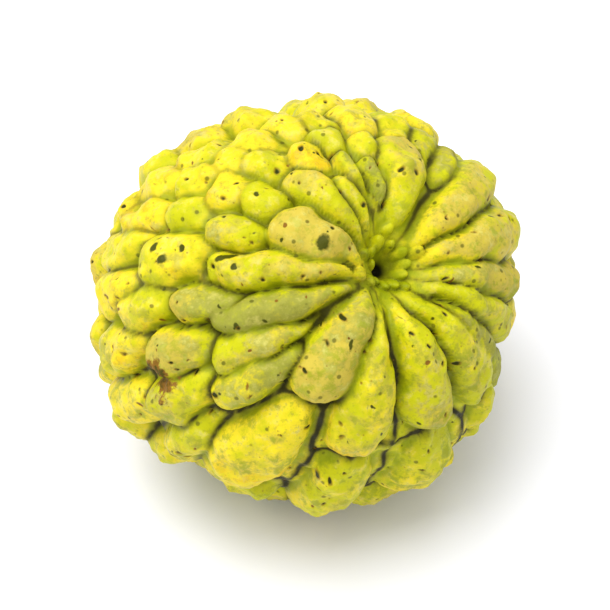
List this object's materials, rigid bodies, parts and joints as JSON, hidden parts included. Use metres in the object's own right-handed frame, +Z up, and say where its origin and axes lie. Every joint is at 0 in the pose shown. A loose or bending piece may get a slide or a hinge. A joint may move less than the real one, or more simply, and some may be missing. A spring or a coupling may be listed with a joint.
{
  "type": "custard apple",
  "caption": "Whole custard apple: a round knobbly fruit of fused fleshy lobes round a stem hollow, lying on small flat spots.",
  "frame": {"origin": "centre of the footprint, on the surface that the fruit lies on", "axes": "+Z up from that surface; the stem hollow leans 40 degrees from +Z towards +X and -Y; -Y is the side that the hollow faces most"},
  "size_m": [0.0826, 0.0826, 0.0777],
  "materials": {
    "skin": "knobbly yellow-green fruit skin with a dull waxy bloom, greener creases, tan patches and dark specks"
  },
  "bodies": {
    "root": {"fruit": "skin"}
  },
  "joints": []
}
